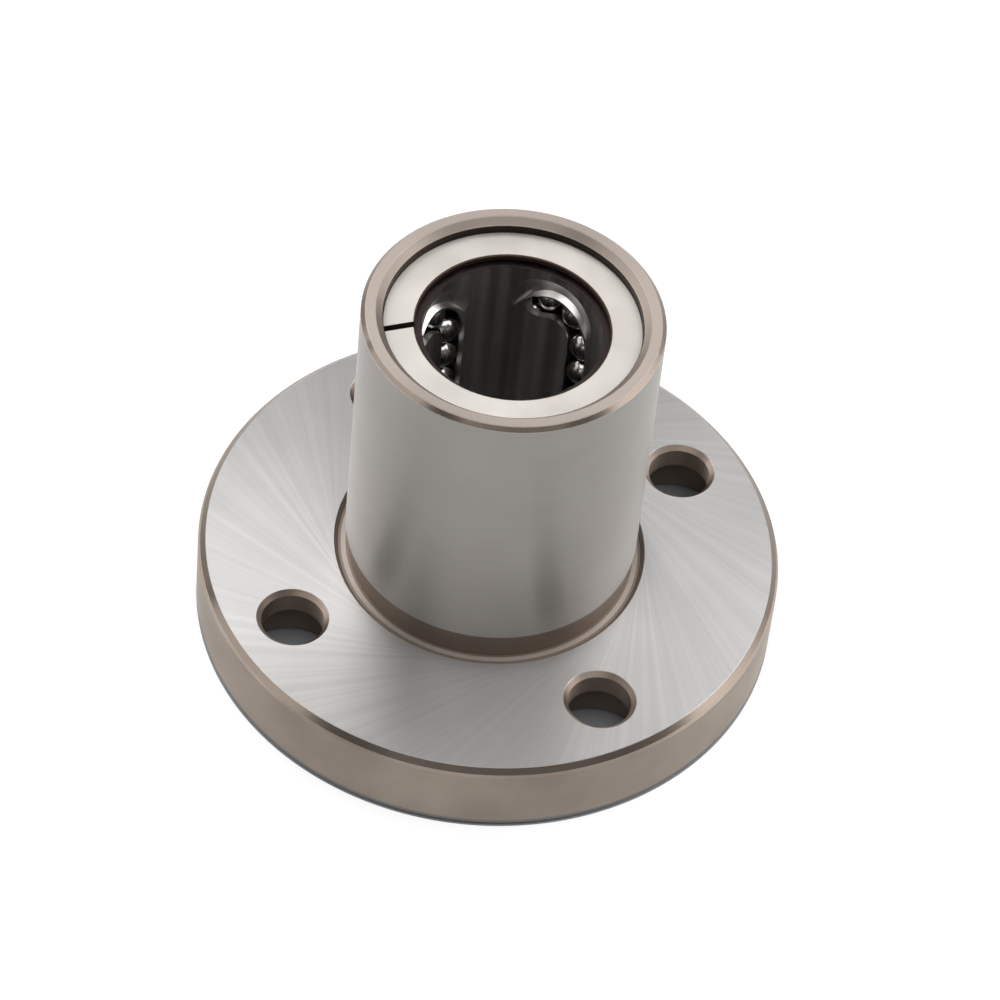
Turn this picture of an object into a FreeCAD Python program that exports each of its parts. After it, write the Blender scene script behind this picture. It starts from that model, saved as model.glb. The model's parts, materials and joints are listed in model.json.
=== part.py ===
import FreeCAD, Part
import math
import os

# A round-flange linear ball bushing for a 12 mm shaft, in mm. The axis is Z, the flange's
# end face lies on Z = 0 and the sleeve rises from it. The front is the sleeve's free end.

# Sizes that a buyer would look up.
SHAFT_D = 12.0
BALL_D = 2.38
LENGTH = 30.0
FLANGE_D = 42.0
FLANGE_T = 6.0
BOLT_PCD = 32.0
BOLT_COUNT = 4
BOLT_AZIMUTH = 45.0
BOLT_HOLE_D = 4.5
HEAD_BORE_D = 7.5
HEAD_BORE_DEPTH = 4.1

# The flanged sleeve. Its wall outside the ball tracks brings it to the standard 21 mm.
SLEEVE_WALL = 1.25
FLANGE_CHAMFER = 0.55
END_CHAMFER = 0.4
HOLE_CHAMFER = 0.35
HEAD_BORE_CHAMFER = 0.2
SLEEVE_CHAMFER = 0.35
MOUTH_LIP = 0.3
MOUTH_CHAMFER = 0.55
RELIEF_W = 0.75
RELIEF_DEPTH = 0.3
RELIEF_HEIGHT = 2.0

# The split rings that close the bore's end chambers.
RING_INSET = 1.1
RING_T = 0.6
RING_SHAFT_CLEARANCE = 0.75
RING_EDGE = 0.12
RING_SLIT = 0.5
RING_SLIT_AZIMUTH = 200.0
RING_SLIT_SLANT = 12.0
RING_SHOULDER = 0.8
RING_SEAT_DEPTH = 0.1
RING_SEAT_CLEARANCE = 0.03
RING_SIDE_CLEARANCE = 0.05

# Ball circuits: each has a loaded row, a return row and two half turns.
CIRCUITS = 4
LOAD_AZIMUTH = 54.8
BALLS_PER_TURN = 3
BALL_GAP = 0.039
TURN_LEAN = 9.0
RACE_CLEARANCE = 0.01
TRACK_CLEARANCE = 0.08
TURN_CLEARANCE = 0.12
CHAMBER_CLEARANCE = 0.01
LAND_RUNOUT = 0.2

# The pressed retainer.
SHAFT_CLEARANCE = 0.22
SHEET_T = 0.48
TROUGH_WALL = 0.35
LAND_CLEARANCE = 0.14
RETAINER_PLAY = 0.05
END_WALL = 0.5
TURN_MARGIN = 0.3
SLOT_HOLD = 0.24
SLOT_SWEEP = 115.0
LIP_LAND = 0.2
LIP_LEAN = 30.0
DISH_DEPTH = 0.5
DISH_R = 4.6
DISH_MARGIN = 1.7

# Overlap that lets a cutter or a joined piece pass a face cleanly.
OVERLAP = 0.1

VECTOR = FreeCAD.Vector
ORIGIN = VECTOR(0, 0, 0)
UP = VECTOR(0, 0, 1)
MIDDLE = VECTOR(0, 0, LENGTH / 2)

# Radii that follow from the sizes above.
flange_r = FLANGE_D / 2
ball_r = BALL_D / 2
load_r = SHAFT_D / 2 + ball_r
land_r = load_r + ball_r + RACE_CLEARANCE
track_r = ball_r + TRACK_CLEARANCE
turn_track_r = ball_r + TURN_CLEARANCE
wall_in_r = SHAFT_D / 2 + SHAFT_CLEARANCE
wall_out_r = wall_in_r + SHEET_T
retainer_r = land_r - LAND_CLEARANCE
return_r = wall_out_r + track_r
chamber_r = return_r + track_r + CHAMBER_CLEARANCE
mouth_r = chamber_r - MOUTH_LIP
seat_r = mouth_r + RING_SEAT_DEPTH
sleeve_r = chamber_r + SLEEVE_WALL
slot_half_w = ball_r - SLOT_HOLD
floor_r = wall_in_r + DISH_DEPTH

# One ball pitch round the turn is also one pitch along the rows.
turn_step = math.pi / BALLS_PER_TURN
turn_r = (BALL_D + BALL_GAP) / (2 * math.sin(turn_step / 2))
pitch = turn_r * turn_step

# Heights: the retainer lies between the rings, and the rows take as many balls as fit.
ring_low_z = RING_INSET
ring_high_z = LENGTH - RING_INSET - RING_T
retainer_low_z = ring_low_z + RING_T + RETAINER_PLAY
retainer_high_z = ring_high_z - RETAINER_PLAY
turn_reach = turn_r + turn_track_r + END_WALL + TURN_MARGIN
balls_per_row = int((retainer_high_z - retainer_low_z - 2 * turn_reach) / pitch)
row_low_z = LENGTH / 2 - balls_per_row * pitch / 2
row_high_z = LENGTH / 2 + balls_per_row * pitch / 2

# The first circuit's loaded row lies over +X; the chord from it to the return row is one turn wide.
row_angle = math.acos((load_r**2 + return_r**2 - (2 * turn_r)**2) / (2 * load_r * return_r))
load_xy = VECTOR(load_r, 0, 0)
return_xy = VECTOR(return_r * math.cos(row_angle), return_r * math.sin(row_angle), 0)
chord = (return_xy - load_xy).normalize()
outward = VECTOR(chord.y, -chord.x, 0)
turn_xy = (load_xy + return_xy) * 0.5
turn_front = turn_xy + UP * row_high_z
lean = math.radians(TURN_LEAN)
turn_up = UP * math.cos(lean) + outward * math.sin(lean)


def cylinder(radius, low_z, high_z, centre=ORIGIN):
    return Part.makeCylinder(radius, high_z - low_z, centre + UP * low_z)


def tube(outer_r, inner_r, low_z, high_z):
    bore = cylinder(inner_r, low_z - OVERLAP, high_z + OVERLAP)
    return cylinder(outer_r, low_z, high_z).cut(bore)


def revolve(points):
    outline = Part.makePolygon([VECTOR(r, 0, z) for r, z in points + points[:1]])
    return Part.Face(outline).revolve(ORIGIN, UP, 360)


def turned(shape, degrees):
    copy = shape.copy()
    copy.rotate(ORIGIN, UP, degrees)
    return copy


def other_end(shape):
    return shape.mirror(MIDDLE, UP)


def around(shape, count, first_azimuth=0.0):
    return [turned(shape, first_azimuth + 360.0 * i / count) for i in range(count)]


def placed(shape, x_axis, y_axis, origin):
    z_axis = x_axis.cross(y_axis)
    matrix = FreeCAD.Matrix(
        x_axis.x, y_axis.x, z_axis.x, origin.x,
        x_axis.y, y_axis.y, z_axis.y, origin.y,
        x_axis.z, y_axis.z, z_axis.z, origin.z,
        0, 0, 0, 1)
    copy = shape.copy()
    copy.Placement = FreeCAD.Placement(matrix)
    return copy


def half_turn(tube_r):
    """The front turn's tube, from the return row over the top to the loaded row."""
    arc = Part.makeTorus(turn_r, tube_r, ORIGIN, UP, -180, 180, 180)
    return placed(arc, chord, turn_up, turn_front)


def circuit_tubes(row_tube_r, turn_tube_r):
    """The round tubes along one whole circuit: two rows and two half turns."""
    front = half_turn(turn_tube_r)
    tubes = [front, other_end(front)]
    lap = row_tube_r * math.tan(lean) + OVERLAP
    for row_xy in (load_xy, return_xy):
        tubes.append(cylinder(row_tube_r, row_low_z - lap, row_high_z + lap, row_xy))
    return tubes


def half_slot():
    """The front half of the slot that shows the balls: up the loaded row and into the turn."""
    depth = turn_xy.dot(outward)
    band = Part.makeCylinder(turn_r + slot_half_w, depth, ORIGIN, UP, SLOT_SWEEP)
    band = band.cut(Part.makeCylinder(turn_r - slot_half_w, depth))
    sweep = math.radians(SLOT_SWEEP)
    end = VECTOR(turn_r * math.cos(sweep), turn_r * math.sin(sweep), 0)
    row_half = row_high_z - LENGTH / 2
    row = Part.makeBox(2 * slot_half_w, row_half + OVERLAP, depth,
                       VECTOR(turn_r - slot_half_w, -row_half - OVERLAP, 0))
    slot = band.fuse([Part.makeCylinder(slot_half_w, depth, end), row])
    return placed(slot, chord * -1, UP, turn_front)


def hood_dish():
    """A round punch's dimple in the wall over the turn, which leaves a raised lip round the slot.

    Returns the recess to cut and the outer skin that backs it.
    """
    radial = VECTOR(turn_xy.x, turn_xy.y, 0).normalize()
    foot = UP * row_high_z
    dish_top = row_high_z + turn_r + slot_half_w + DISH_MARGIN
    dish_half_h = math.sqrt(DISH_R**2 - (DISH_R - DISH_DEPTH)**2)
    dish_centre = radial * (floor_r - DISH_R) + UP * (dish_top - dish_half_h)
    reach = retainer_r + OVERLAP
    lip_r = turn_r + slot_half_w + LIP_LAND
    lip_slope = math.tan(math.radians(LIP_LEAN))
    lip_height = reach - wall_in_r + lip_r / lip_slope
    lip_tip = foot + radial * (reach - lip_height)
    lip_cone = Part.makeCone(0, lip_height * lip_slope, lip_height, lip_tip, radial)
    lip_bar = Part.makeCylinder(lip_r - LIP_LAND / 2, reach, foot, radial)
    recess = Part.makeSphere(DISH_R, dish_centre).cut([lip_cone, lip_bar])
    skin = Part.makeSphere(DISH_R + SHEET_T, dish_centre)
    skin = skin.cut(Part.makeCylinder(turn_r, reach, foot, radial))
    skin = skin.common(tube(retainer_r, wall_in_r + SHEET_T / 2, row_high_z, retainer_high_z))
    return recess, skin


def edge_cone(radius, chamfer, edge, direction):
    """The cutter that chamfers a round hole's edge, where direction points out of the hole."""
    return Part.makeCone(radius, radius + chamfer + OVERLAP, chamfer + OVERLAP,
                         edge - direction * chamfer, direction)


def bolt_hole():
    """One screw hole over +X, counterbored from the end face for the screw's head."""
    centre = VECTOR(BOLT_PCD / 2, 0, 0)
    hole_r = BOLT_HOLE_D / 2
    head_r = HEAD_BORE_D / 2
    hole = cylinder(hole_r, -OVERLAP, FLANGE_T + OVERLAP, centre)
    return hole.fuse([
        cylinder(head_r, -OVERLAP, HEAD_BORE_DEPTH, centre),
        edge_cone(hole_r, HOLE_CHAMFER, centre + UP * FLANGE_T, UP),
        edge_cone(head_r, HEAD_BORE_CHAMFER, centre, UP * -1),
    ])


def flanged_sleeve():
    relief_r = sleeve_r + RELIEF_W
    body = revolve([
        (land_r, 0),
        (flange_r - END_CHAMFER, 0),
        (flange_r, END_CHAMFER),
        (flange_r, FLANGE_T - FLANGE_CHAMFER),
        (flange_r - FLANGE_CHAMFER, FLANGE_T),
        (relief_r, FLANGE_T),
        (relief_r - RELIEF_DEPTH, FLANGE_T - RELIEF_DEPTH),
        (sleeve_r - RELIEF_DEPTH, FLANGE_T - RELIEF_DEPTH),
        (sleeve_r - RELIEF_DEPTH, FLANGE_T + RELIEF_HEIGHT - RELIEF_DEPTH),
        (sleeve_r, FLANGE_T + RELIEF_HEIGHT),
        (sleeve_r, LENGTH - SLEEVE_CHAMFER),
        (sleeve_r - SLEEVE_CHAMFER, LENGTH),
        (land_r, LENGTH),
    ])
    chamber = cylinder(chamber_r, row_high_z - LAND_RUNOUT, retainer_high_z - RING_SHOULDER)
    mouth = cylinder(mouth_r, row_high_z, LENGTH + OVERLAP)
    seat = cylinder(seat_r, ring_high_z - RING_SIDE_CLEARANCE, ring_high_z + RING_T + RING_SIDE_CLEARANCE)
    mouth_edge = edge_cone(mouth_r, MOUTH_CHAMFER, UP * LENGTH, UP)
    cutters = []
    for cutter in (chamber, mouth, seat, mouth_edge):
        cutters += [cutter, other_end(cutter)]
    groove = cylinder(track_r, row_low_z, row_high_z, return_xy)
    cutters += around(groove, CIRCUITS, LOAD_AZIMUTH)
    cutters += around(bolt_hole(), BOLT_COUNT, BOLT_AZIMUTH)
    return body.cut(cutters)


def ball_retainer():
    wall = tube(wall_out_r, wall_in_r, retainer_low_z, retainer_high_z)
    end_plate = tube(retainer_r, wall_in_r, retainer_high_z - END_WALL, retainer_high_z)
    room = tube(retainer_r, wall_in_r + SHEET_T / 2, retainer_low_z, retainer_high_z)
    recess, skin = hood_dish()
    slot = half_slot()
    walls = circuit_tubes(track_r + TROUGH_WALL, turn_track_r + TROUGH_WALL)
    trough = walls[0].fuse(walls[1:]).common(room)
    tracks = circuit_tubes(track_r, turn_track_r)
    opening = tracks[0].fuse(tracks[1:] + [slot, other_end(slot), recess, other_end(recess)])
    added = [end_plate, other_end(end_plate)]
    for piece in (trough, skin, other_end(skin)):
        added += around(piece, CIRCUITS, LOAD_AZIMUTH)
    return wall.fuse(added).cut(around(opening, CIRCUITS, LOAD_AZIMUTH))


def retaining_ring(low_z, slit_azimuth):
    outer_r = seat_r - RING_SEAT_CLEARANCE
    inner_r = SHAFT_D / 2 + RING_SHAFT_CLEARANCE
    high_z = low_z + RING_T
    ring = revolve([
        (inner_r + RING_EDGE, low_z),
        (outer_r - RING_EDGE, low_z),
        (outer_r, low_z + RING_EDGE),
        (outer_r, high_z - RING_EDGE),
        (outer_r - RING_EDGE, high_z),
        (inner_r + RING_EDGE, high_z),
        (inner_r, high_z - RING_EDGE),
        (inner_r, low_z + RING_EDGE),
    ])
    middle_r = (inner_r + outer_r) / 2
    slit = Part.makeBox(middle_r, RING_SLIT, RING_T + 2 * OVERLAP,
                        VECTOR(middle_r / 2, -RING_SLIT / 2, low_z - OVERLAP))
    slit.rotate(VECTOR(middle_r, 0, 0), UP, RING_SLIT_SLANT)
    return ring.cut(turned(slit, slit_azimuth))


def balls(centres, azimuth):
    spheres = [Part.makeSphere(ball_r, centre) for centre in centres]
    return turned(Part.makeCompound(spheres), azimuth)


def turn_centres(start, top, end_z):
    """Ball centres round one half turn, from the row that they leave."""
    origin = turn_xy + UP * end_z
    angles = [turn_step * i for i in range(BALLS_PER_TURN)]
    return [origin + (start * math.cos(a) + top * math.sin(a)) * turn_r for a in angles]


parts = {
    "flanged_sleeve": flanged_sleeve(),
    "ball_retainer": ball_retainer(),
    "front_retaining_ring": retaining_ring(ring_high_z, RING_SLIT_AZIMUTH),
    "rear_retaining_ring": retaining_ring(ring_low_z, RING_SLIT_AZIMUTH + 180.0),
}

turn_down = outward * math.sin(lean) - UP * math.cos(lean)
steps = [pitch * i for i in range(balls_per_row)]
groups = {
    "load": [load_xy + UP * (row_low_z + step) for step in steps],
    "front_turn": turn_centres(chord * -1, turn_up, row_high_z),
    "return": [return_xy + UP * (row_high_z - step) for step in steps],
    "rear_turn": turn_centres(chord, turn_down, row_low_z),
}
for circuit in range(CIRCUITS):
    azimuth = LOAD_AZIMUTH + 360.0 * circuit / CIRCUITS
    for group, centres in groups.items():
        parts[f"circuit_{circuit + 1}_{group}_balls"] = balls(centres, azimuth)

os.makedirs("parts", exist_ok=True)
for name, shape in parts.items():
    shape.exportStep(f"parts/{name}.step")
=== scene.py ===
"""A flanged linear ball bushing on a pale studio floor.

Every piece is the fixed frame's own solid, so this script adds the steel finishes, the floor,
the lights and the camera. Lengths are metres, worked out from the frame and from millimetres.
"""

import json
import math

import bmesh
import bpy
from mathutils import Matrix, Vector


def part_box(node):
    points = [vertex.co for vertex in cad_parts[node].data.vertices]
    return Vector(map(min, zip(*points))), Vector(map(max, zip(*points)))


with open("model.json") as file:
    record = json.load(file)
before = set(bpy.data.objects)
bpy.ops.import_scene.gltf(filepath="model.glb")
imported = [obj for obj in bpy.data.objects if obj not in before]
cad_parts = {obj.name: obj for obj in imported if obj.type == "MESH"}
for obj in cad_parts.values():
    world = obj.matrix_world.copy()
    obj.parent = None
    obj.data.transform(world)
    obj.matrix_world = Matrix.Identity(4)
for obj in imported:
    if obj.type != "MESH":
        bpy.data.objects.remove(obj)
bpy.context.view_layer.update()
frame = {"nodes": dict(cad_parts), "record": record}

MM = 0.001
MOUNTS = {mount["name"]: mount for mount in frame["record"]["mounts"]}

# Sizes of the flanged sleeve, the retainer and the rings, read from the frame.
SLEEVE_R = MOUNTS["housing_spigot"]["dims"]["r_mm"] * MM
BOLT_R = MOUNTS["flange_bolts"]["dims"]["pcd_mm"] / 2 * MM
FLANGE_FACE_Z = MOUNTS["flange_face"]["pos_m"][2]
FLANGE_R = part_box("flanged_sleeve")[1].x
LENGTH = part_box("flanged_sleeve")[1].z
RETAINER_HIGH_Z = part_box("ball_retainer")[1].z
RING_LOW_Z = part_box("front_retaining_ring")[0].z
RING_HIGH_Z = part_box("front_retaining_ring")[1].z
RING_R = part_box("front_retaining_ring")[1].x

# Edges of the sleeve that get their own tone, some of it painted shade or a painted highlight,
# and how close to a face still counts as on it.
FLANGE_CHAMFER = 0.55 * MM
FLANGE_SHADE = 0.42 * MM
FOOT_CHAMFER = 0.4 * MM
FOOT_SHADE = 0.7 * MM
SLEEVE_CHAMFER = 0.35 * MM
MOUTH_CHAMFER = 0.55 * MM
RELIEF_W = 0.75 * MM
RELIEF_DEPTH = 0.3 * MM
RELIEF_HEIGHT = 2 * MM
RELIEF_GLINT = 0.14 * MM
BOLT_REACH = 4 * MM
PAST_EDGE = 1 * MM
ON_FACE = 0.03 * MM
NEAR_FACE = 3 * ON_FACE

# Widths of the marks in the steel. A grinding wheel's scratches are a few hundredths of a
# millimetre wide, too fine to show, so the first two are drawn as coarse as they need to show.
FACE_SCRATCH_W = 0.6 * MM
SLEEVE_SCRATCH_W = 0.25 * MM
SCALE_DRIFT_W = 6 * MM
DRAWN_STREAK_W = 1.2 * MM
TUMBLED_CLOUD_W = 3 * MM
LAPPED_HAZE_W = 0.6 * MM

# Noise lies mostly between these two values. The stretches draw it out along the marks.
NOISE_LOW = 0.3
NOISE_HIGH = 0.7
ROUND_THE_SLEEVE = (0.02, 0.02, 1)
ALONG_THE_BORE = (1, 1, 0.03)

# Roughness of the turned steel under its scale, of its smooth chamfers, of the faced ends and
# of the drilled holes.
SCALE_ROUGH = 0.45
CHAMFER_ROUGH = 0.22
FACED_ROUGH = 0.6
HOLE_ROUGH = 0.5

# How far the grinding lay stretches a highlight, how far it turns it (a quarter turn puts the
# stretch across the lay), and how much lighter or darker the clouds are.
LAY_STRETCH = 0.75
ACROSS_LAY = 0.25
CLOUDING = 0.04

# The scratches on the face are straight and touch this circle, just inside the relief's edge.
SCRATCH_CIRCLE_R = 11 * MM

# The photograph's camera: its distance, turn, height above the horizon and roll, and its aim.
CAMERA_DISTANCE = 326.7 * MM
CAMERA_AZIMUTH = math.radians(11.1)
CAMERA_ELEVATION = math.radians(48.9)
CAMERA_ROLL = math.radians(6.3)
CAMERA_LENS_MM = 165.2
CAMERA_TARGET = Vector((0, 0, 12 * MM))
CAMERA_AIM_RIGHT = 0.32 * MM
CAMERA_AIM_DOWN = 0.85 * MM

# The studio. Most of the light comes from both sides behind the bushing.
FLOOR_HALF_WIDTH = 2.0
FLOOR_LIFT = 0.70
WORLD_STRENGTH = 0.25
SOFTBOX_DISTANCE = 0.55
# Each softbox: degrees to the right of the camera's line of sight, degrees up, sides, watts.
SOFTBOXES = {
    "left_softbox": (-50, 38, (0.40, 0.50), 2.25),
    "right_softbox": (71, 36, (0.60, 0.60), 3.3),
    "top_softbox": (170, 72, (0.55, 0.40), 1.95),
    "back_softbox": (0, 70, (0.45, 0.45), 0.7),
    "side_softbox": (-98, 30, (0.45, 0.45), 1.0),
}


def linear(hex_colour):
    """An sRGB hex value as linear red, green, blue and alpha."""
    channels = [int(hex_colour[i:i + 2], 16) / 255 for i in (1, 3, 5)]
    return [c / 12.92 if c <= 0.04045 else ((c + 0.055) / 1.055) ** 2.4 for c in channels] + [1.0]


def add(tree, kind, inputs=None, **settings):
    """Adds a node with its settings, and links or sets each of its inputs."""
    node = tree.nodes.new(kind)
    for name, value in settings.items():
        setattr(node, name, value)
    for name, value in (inputs or {}).items():
        if isinstance(value, bpy.types.NodeSocket):
            tree.links.new(value, node.inputs[name])
        else:
            node.inputs[name].default_value = value
    return node


def new_material(name):
    """An empty node material and its node tree."""
    material = bpy.data.materials.new(name)
    material.use_nodes = True
    material.node_tree.nodes.clear()
    return material, material.node_tree


def on_bushing(tree):
    """A point's place on the bushing: height, distance from mid-length, radius, way outwards."""
    place = add(tree, "ShaderNodeTexCoord").outputs["Object"]
    height = add(tree, "ShaderNodeSeparateXYZ", {0: place}).outputs["Z"]
    from_middle = add(tree, "ShaderNodeMath", {0: height, 1: LENGTH / 2},
                      operation="SUBTRACT").outputs[0]
    from_middle = add(tree, "ShaderNodeMath", {0: from_middle}, operation="ABSOLUTE").outputs[0]
    flat = add(tree, "ShaderNodeVectorMath", {0: place, 1: (1, 1, 0)},
               operation="MULTIPLY").outputs[0]
    radius = add(tree, "ShaderNodeVectorMath", {0: flat}, operation="LENGTH").outputs["Value"]
    outward = add(tree, "ShaderNodeVectorMath", {0: flat}, operation="NORMALIZE").outputs[0]
    return {"place": place, "height": height, "from_middle": from_middle,
            "radius": radius, "outward": outward}


def ground_bearing_steel():
    """Hardened bearing steel, ground on the sleeve and the flange's face.

    The wheel leaves a bright grey with a fine lay, which spreads the light across itself: out
    from the middle on the face, up and down on the sleeve. Where the steel was only turned
    before hardening, a thin straw brown scale stays.
    """
    material, tree = new_material("bearing_steel_ground_and_tinted")
    at = on_bushing(tree)

    # Along one straight scratch on the face, the point where it touches its circle is the same.
    swing = add(tree, "ShaderNodeMath", {0: SCRATCH_CIRCLE_R, 1: at["radius"]},
                operation="DIVIDE").outputs[0]
    swing = add(tree, "ShaderNodeMath", {0: swing}, operation="ARCCOSINE").outputs[0]
    touch = add(tree, "ShaderNodeVectorRotate", {"Vector": at["outward"], "Angle": swing},
                rotation_type="Z_AXIS").outputs[0]
    scratch = add(tree, "ShaderNodeTexNoise", {
        "Vector": touch, "Scale": SCRATCH_CIRCLE_R / FACE_SCRATCH_W,
        "Detail": 6, "Roughness": 0.7}).outputs["Fac"]
    scratch = add(tree, "ShaderNodeMapRange", {
        "Value": scratch, "From Min": NOISE_LOW, "From Max": NOISE_HIGH}).outputs[0]
    face_grey = add(tree, "ShaderNodeMix", {
        "Factor": scratch, "A": linear("#A5A3A2"), "B": linear("#B6B4B3")},
        data_type="RGBA").outputs["Result"]
    face_rough = add(tree, "ShaderNodeMix", {
        "Factor": scratch, "A": 0.35, "B": 0.31}).outputs["Result"]

    # On the sleeve the scratches run round it.
    lay = add(tree, "ShaderNodeMapping", {
        "Vector": at["place"], "Scale": ROUND_THE_SLEEVE}).outputs[0]
    lay = add(tree, "ShaderNodeTexNoise", {
        "Vector": lay, "Scale": 1 / SLEEVE_SCRATCH_W, "Detail": 3}).outputs["Fac"]
    lay = add(tree, "ShaderNodeMapRange", {
        "Value": lay, "From Min": NOISE_LOW, "From Max": NOISE_HIGH}).outputs[0]
    sleeve_grey = add(tree, "ShaderNodeMix", {
        "Factor": lay, "A": linear("#908C88"), "B": linear("#928E8A")},
        data_type="RGBA").outputs["Result"]
    sleeve_rough = add(tree, "ShaderNodeMix", {"Factor": lay, "A": 0.39, "B": 0.38}).outputs["Result"]

    # The scale's tint drifts.
    drift = add(tree, "ShaderNodeTexNoise", {
        "Vector": at["place"], "Scale": 1 / SCALE_DRIFT_W, "Detail": 4}).outputs["Fac"]
    drift = add(tree, "ShaderNodeMapRange", {
        "Value": drift, "From Min": NOISE_LOW, "From Max": NOISE_HIGH}).outputs[0]
    scale_brown = add(tree, "ShaderNodeMix", {
        "Factor": drift, "A": linear("#867B71"), "B": linear("#92877D")},
        data_type="RGBA").outputs["Result"]

    on_face = add(tree, "ShaderNodeMath", {0: at["height"], 1: FLANGE_FACE_Z, 2: ON_FACE},
                  operation="COMPARE").outputs[0]
    past_relief = add(tree, "ShaderNodeMath", {0: at["radius"], 1: SLEEVE_R + RELIEF_W - ON_FACE},
                      operation="GREATER_THAN").outputs[0]
    on_flange = add(tree, "ShaderNodeMath", {0: on_face, 1: past_relief},
                    operation="MULTIPLY").outputs[0]
    on_sleeve = add(tree, "ShaderNodeMath", {0: at["radius"], 1: SLEEVE_R, 2: ON_FACE},
                    operation="COMPARE").outputs[0]
    colour, rough = scale_brown, SCALE_ROUGH
    ground_faces = ((on_flange, face_grey, face_rough), (on_sleeve, sleeve_grey, sleeve_rough))
    for ground, grey, ground_rough in ground_faces:
        colour = add(tree, "ShaderNodeMix", {"Factor": ground, "A": colour, "B": grey},
                     data_type="RGBA").outputs["Result"]
        rough = add(tree, "ShaderNodeMix", {
            "Factor": ground, "A": rough, "B": ground_rough}).outputs["Result"]

    # Zones of painted shade on the chamfers, the flange's foot, the relief's scale and inside the
    # mouth, a painted highlight on the relief's floor, scale tones on the relief's edge, the bolt
    # holes and the mouth's chamfer, and both end faces, which are faced bright again. Each has a
    # tone, a roughness, two radii and two heights, and a later one covers an earlier one.
    relief_z = FLANGE_FACE_Z - RELIEF_DEPTH
    relief_r = SLEEVE_R + RELIEF_W
    zones = {
        # The flange's chamfer: painted shade, a dark tone along the edge.
        "flange_chamfer": ("#7D7269", CHAMFER_ROUGH, FLANGE_R - FLANGE_CHAMFER, FLANGE_R,
                           FLANGE_FACE_Z - FLANGE_SHADE, FLANGE_FACE_Z),
        # The flange's foot: painted shade, darker along the floor.
        "flange_foot": ("#716E6B", SCALE_ROUGH, FLANGE_R - FOOT_CHAMFER, FLANGE_R + PAST_EDGE,
                        0, FOOT_SHADE),
        # The sleeve's chamfer: painted shade, a dark line round the free end.
        "sleeve_chamfer": ("#7D7269", CHAMFER_ROUGH, SLEEVE_R - SLEEVE_CHAMFER, SLEEVE_R,
                           LENGTH - SLEEVE_CHAMFER, LENGTH),
        # The neck and the groove of the relief: scale, darkened with painted shade in the undercut.
        "relief": ("#786C63", SCALE_ROUGH, 0, relief_r,
                   relief_z - PAST_EDGE, FLANGE_FACE_Z + RELIEF_HEIGHT),
        # A painted highlight: a light stripe along the relief's floor.
        "relief_floor": ("#9F968F", SCALE_ROUGH, SLEEVE_R - RELIEF_GLINT,
                         SLEEVE_R + 2 * RELIEF_GLINT, relief_z - PAST_EDGE, relief_z + NEAR_FACE),
        "relief_edge": ("#958C85", SCALE_ROUGH, relief_r - RELIEF_DEPTH, relief_r + ON_FACE,
                        relief_z, FLANGE_FACE_Z),
        "bolt_holes": ("#8F8177", HOLE_ROUGH, BOLT_R - BOLT_REACH, BOLT_R + BOLT_REACH,
                       0, FLANGE_FACE_Z),
        "mouth_chamfer": ("#857B74", SCALE_ROUGH, RING_R, RING_R + MOUTH_CHAMFER,
                          LENGTH - MOUTH_CHAMFER, LENGTH),
        # Painted shade: near-black inside the ring's radius, on the mouth wall over the ring.
        "inside": ("#2B2421", SCALE_ROUGH, 0, RING_R, 0, LENGTH),
        "free_end": ("#A29891", FACED_ROUGH, 0, SLEEVE_R, LENGTH - NEAR_FACE, LENGTH + NEAR_FACE),
        "flange_end": ("#A29891", FACED_ROUGH, 0, FLANGE_R, -NEAR_FACE, NEAR_FACE),
    }
    for tone, zone_rough, low_r, high_r, low_z, high_z in zones.values():
        in_r = add(tree, "ShaderNodeMath", {
            0: at["radius"], 1: (low_r + high_r) / 2, 2: (high_r - low_r) / 2 - ON_FACE},
            operation="COMPARE").outputs[0]
        in_z = add(tree, "ShaderNodeMath", {
            0: at["height"], 1: (low_z + high_z) / 2, 2: (high_z - low_z) / 2 - ON_FACE},
            operation="COMPARE").outputs[0]
        inside = add(tree, "ShaderNodeMath", {0: in_r, 1: in_z}, operation="MULTIPLY").outputs[0]
        colour = add(tree, "ShaderNodeMix", {"Factor": inside, "A": colour, "B": linear(tone)},
                     data_type="RGBA").outputs["Result"]
        rough = add(tree, "ShaderNodeMix", {
            "Factor": inside, "A": rough, "B": zone_rough}).outputs["Result"]

    # All of it clouds a little with the drift.
    cloud = add(tree, "ShaderNodeMapRange", {
        "Value": drift, "To Min": 1 - CLOUDING, "To Max": 1 + CLOUDING}).outputs[0]
    colour = add(tree, "ShaderNodeMix", {"Factor": 1.0, "A": colour, "B": cloud},
                 data_type="RGBA", blend_type="MULTIPLY").outputs["Result"]

    round_axis = add(tree, "ShaderNodeTangent", direction_type="RADIAL", axis="Z").outputs[0]
    steel = add(tree, "ShaderNodeBsdfPrincipled", {
        "Base Color": colour, "Metallic": 1.0, "Roughness": rough,
        "Anisotropic": LAY_STRETCH, "Anisotropic Rotation": ACROSS_LAY, "Tangent": round_axis})
    add(tree, "ShaderNodeOutputMaterial", {"Surface": steel.outputs[0]})
    return material


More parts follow.
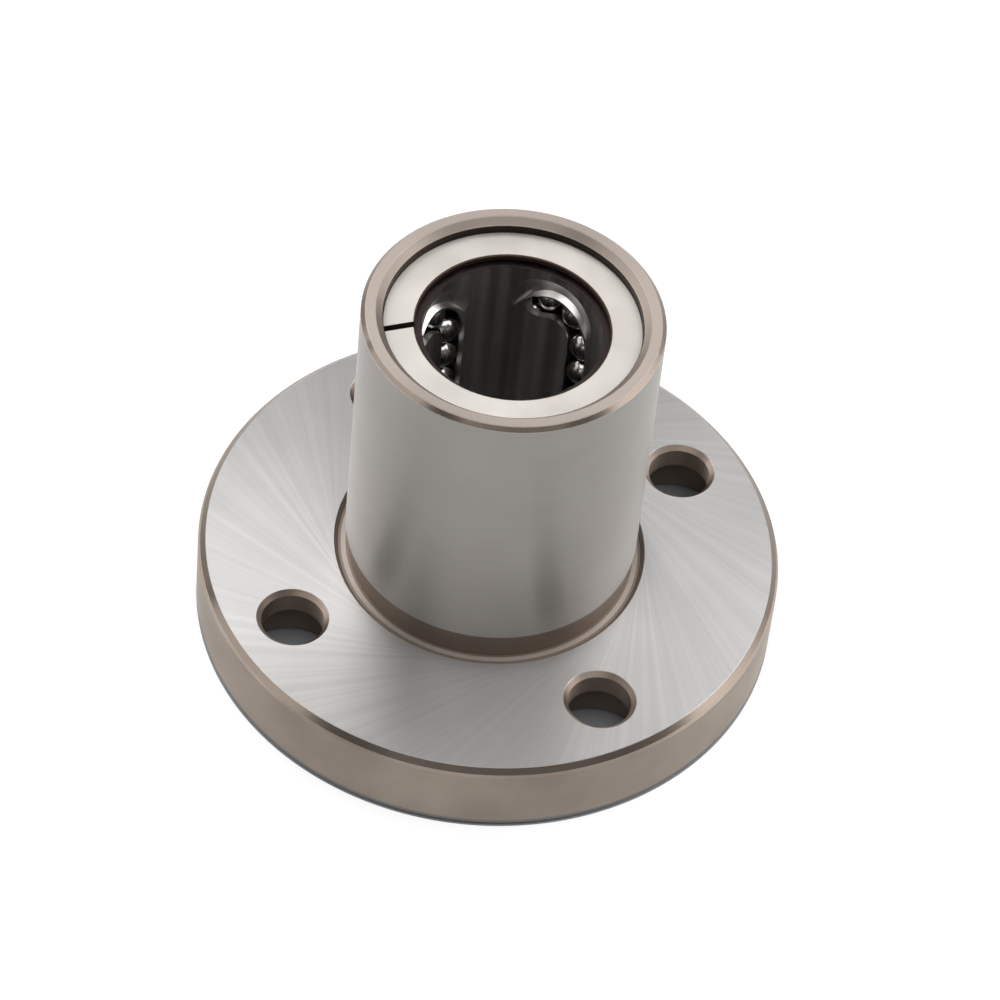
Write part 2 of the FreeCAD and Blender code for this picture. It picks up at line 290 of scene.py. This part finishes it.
def pressed_steel():
    """Cold-rolled strip, pressed and lightly oiled: a dark gloss, streaked along the bore.

    Its cut ends, under the rings, are painted dark brown, a painted shade.
    """
    material, tree = new_material("pressed_strip_steel_oiled")
    at = on_bushing(tree)
    streak = add(tree, "ShaderNodeMapping", {
        "Vector": at["place"], "Scale": ALONG_THE_BORE}).outputs[0]
    streak = add(tree, "ShaderNodeTexNoise", {
        "Vector": streak, "Scale": 1 / DRAWN_STREAK_W, "Detail": 4}).outputs["Fac"]
    streak = add(tree, "ShaderNodeMapRange", {
        "Value": streak, "From Min": NOISE_LOW, "From Max": NOISE_HIGH}).outputs[0]
    colour = add(tree, "ShaderNodeMix", {
        "Factor": streak, "A": linear("#A5A19E"), "B": linear("#D6D2CF")},
        data_type="RGBA").outputs["Result"]
    rough = add(tree, "ShaderNodeMix", {
        "Factor": streak, "A": 0.28, "B": 0.42}).outputs["Result"]
    # Painted shade on the cut ends, under the rings.
    on_shaded_end = add(tree, "ShaderNodeMath", {
        0: at["from_middle"], 1: RETAINER_HIGH_Z - LENGTH / 2 - ON_FACE},
        operation="GREATER_THAN").outputs[0]
    colour = add(tree, "ShaderNodeMix", {"Factor": on_shaded_end, "A": colour, "B": linear("#3A3331")},
                 data_type="RGBA").outputs["Result"]
    steel = add(tree, "ShaderNodeBsdfPrincipled", {
        "Base Color": colour, "Metallic": 1.0, "Roughness": rough})
    add(tree, "ShaderNodeOutputMaterial", {"Surface": steel.outputs[0]})
    return material


def blanked_steel():
    """Spring strip, blanked into a flat ring and tumbled: a pale, even satin.

    The sheared edges between the two faces are painted dark brown, a painted shade.
    """
    material, tree = new_material("blanked_spring_steel_tumbled")
    at = on_bushing(tree)
    cloud = add(tree, "ShaderNodeTexNoise", {
        "Vector": at["place"], "Scale": 1 / TUMBLED_CLOUD_W, "Detail": 5}).outputs["Fac"]
    cloud = add(tree, "ShaderNodeMapRange", {
        "Value": cloud, "From Min": NOISE_LOW, "From Max": NOISE_HIGH}).outputs[0]
    colour = add(tree, "ShaderNodeMix", {
        "Factor": cloud, "A": linear("#B3AEA9"), "B": linear("#BFBBB6")},
        data_type="RGBA").outputs["Result"]
    rough = add(tree, "ShaderNodeMix", {"Factor": cloud, "A": 0.55, "B": 0.65}).outputs["Result"]
    # Painted shade on the sheared edges.
    on_shaded_edge = add(tree, "ShaderNodeMath", {
        0: at["from_middle"], 1: (RING_LOW_Z + RING_HIGH_Z - LENGTH) / 2,
        2: (RING_HIGH_Z - RING_LOW_Z) / 2 - ON_FACE}, operation="COMPARE").outputs[0]
    colour = add(tree, "ShaderNodeMix", {"Factor": on_shaded_edge, "A": colour, "B": linear("#4A3C36")},
                 data_type="RGBA").outputs["Result"]
    steel = add(tree, "ShaderNodeBsdfPrincipled", {
        "Base Color": colour, "Metallic": 1.0, "Roughness": rough})
    add(tree, "ShaderNodeOutputMaterial", {"Surface": steel.outputs[0]})
    return material


def polished_balls():
    """Bearing steel balls, lapped to a mirror: dark and bright by what they reflect.

    A thin film of oil hazes them a little.
    """
    material, tree = new_material("bearing_steel_lapped")
    place = add(tree, "ShaderNodeTexCoord").outputs["Object"]
    haze = add(tree, "ShaderNodeTexNoise", {
        "Vector": place, "Scale": 1 / LAPPED_HAZE_W, "Detail": 3}).outputs["Fac"]
    haze = add(tree, "ShaderNodeMapRange", {
        "Value": haze, "From Min": NOISE_LOW, "From Max": NOISE_HIGH}).outputs[0]
    colour = add(tree, "ShaderNodeMix", {
        "Factor": haze, "A": linear("#96948F"), "B": linear("#A2A2A4")},
        data_type="RGBA").outputs["Result"]
    rough = add(tree, "ShaderNodeMix", {"Factor": haze, "A": 0.12, "B": 0.18}).outputs["Result"]
    steel = add(tree, "ShaderNodeBsdfPrincipled", {
        "Base Color": colour, "Metallic": 1.0, "Roughness": rough})
    add(tree, "ShaderNodeOutputMaterial", {"Surface": steel.outputs[0]})
    return material


def dress(finishes):
    """Gives each of the frame's solids the finish of its own slot in the record."""
    for part in frame["record"]["subparts"]:
        node = frame["nodes"][part["node"]]
        node.material_slots[0].material = finishes[part["material_slot"]]


def studio_floor():
    """A wide pale paper floor under the flange's end face.

    Seen or mirrored, it is lifted most of the way to white and keeps a faint shadow. Under the
    flange, where only the holes and the bore look down on it, it is painted dark grey, a painted
    shade.
    """
    mesh = bpy.data.meshes.new("floor")
    sheet = bmesh.new()
    bmesh.ops.create_grid(sheet, x_segments=1, y_segments=1, size=FLOOR_HALF_WIDTH)
    sheet.to_mesh(mesh)
    sheet.free()
    floor = bpy.data.objects.new("floor", mesh)
    bpy.context.scene.collection.objects.link(floor)
    material, tree = new_material("pale_floor")
    # Painted shade: the floor under the flange is a dark grey.
    clear = add(tree, "ShaderNodeMath", {0: on_bushing(tree)["radius"], 1: FLANGE_R},
                operation="GREATER_THAN").outputs[0]
    shade = add(tree, "ShaderNodeMix", {
        "Factor": clear, "A": linear("#8E9094"), "B": linear("#F4F4F3")},
        data_type="RGBA").outputs["Result"]
    paper = add(tree, "ShaderNodeBsdfPrincipled", {"Base Color": shade, "Roughness": 0.9})
    white = add(tree, "ShaderNodeEmission", {"Color": linear("#FFFFFF"), "Strength": 1.0})
    path = add(tree, "ShaderNodeLightPath").outputs
    seen = add(tree, "ShaderNodeMath", {0: path["Is Camera Ray"], 1: path["Is Glossy Ray"]},
               operation="MAXIMUM").outputs[0]
    seen = add(tree, "ShaderNodeMath", {0: seen, 1: path["Is Transmission Ray"]},
               operation="MAXIMUM").outputs[0]
    lift = add(tree, "ShaderNodeMath", {0: seen, 1: clear}, operation="MULTIPLY").outputs[0]
    lift = add(tree, "ShaderNodeMath", {0: lift, 1: FLOOR_LIFT}, operation="MULTIPLY").outputs[0]
    surface = add(tree, "ShaderNodeMixShader", {0: lift, 1: paper.outputs[0], 2: white.outputs[0]})
    add(tree, "ShaderNodeOutputMaterial", {"Surface": surface.outputs[0]})
    mesh.materials.append(material)


def studio_world():
    """An even grey room."""
    world = bpy.data.worlds.new("studio")
    bpy.context.scene.world = world
    world.use_nodes = True
    tree = world.node_tree
    tree.nodes.clear()
    room = add(tree, "ShaderNodeBackground", {"Color": linear("#FFFFFF"), "Strength": WORLD_STRENGTH})
    add(tree, "ShaderNodeOutputWorld", {"Surface": room.outputs[0]})


def softbox(name, turn, elevation, sides, watts):
    """An area light, turned in degrees from the camera's line of sight and raised."""
    heading = CAMERA_AZIMUTH - math.radians(turn)
    rise = math.radians(elevation)
    away = Vector((-math.sin(heading) * math.cos(rise),
                   math.cos(heading) * math.cos(rise),
                   math.sin(rise)))
    light = bpy.data.lights.new(name, "AREA")
    light.shape = "RECTANGLE"
    light.size, light.size_y = sides
    light.energy = watts
    lamp = bpy.data.objects.new(name, light)
    lamp.location = CAMERA_TARGET + away * SOFTBOX_DISTANCE
    lamp.rotation_euler = away.to_track_quat("Z", "Y").to_euler()
    bpy.context.scene.collection.objects.link(lamp)


def photo_camera():
    """The photograph's view, a little rolled so that the sleeve leans to the right."""
    back = Vector((math.sin(CAMERA_AZIMUTH) * math.cos(CAMERA_ELEVATION),
                   -math.cos(CAMERA_AZIMUTH) * math.cos(CAMERA_ELEVATION),
                   math.sin(CAMERA_ELEVATION)))
    level = Vector((math.cos(CAMERA_AZIMUTH), math.sin(CAMERA_AZIMUTH), 0))
    upright = back.cross(level)
    right = level * math.cos(CAMERA_ROLL) + upright * math.sin(CAMERA_ROLL)
    up = back.cross(right)
    place = (CAMERA_TARGET + back * CAMERA_DISTANCE
             + right * CAMERA_AIM_RIGHT - up * CAMERA_AIM_DOWN)
    lens = bpy.data.cameras.new("photo_camera")
    lens.lens = CAMERA_LENS_MM
    lens.clip_start = 1 * MM
    camera = bpy.data.objects.new("photo_camera", lens)
    camera.matrix_world = Matrix.Translation(place) @ Matrix((right, up, back)).transposed().to_4x4()
    bpy.context.scene.collection.objects.link(camera)
    bpy.context.scene.camera = camera


dress({
    "ground_bearing_steel": ground_bearing_steel(),
    "pressed_steel": pressed_steel(),
    "blanked_steel": blanked_steel(),
    "polished_balls": polished_balls(),
})
studio_floor()
studio_world()
for softbox_name, setting in SOFTBOXES.items():
    softbox(softbox_name, *setting)
photo_camera()
bpy.context.scene.view_settings.view_transform = "Standard"
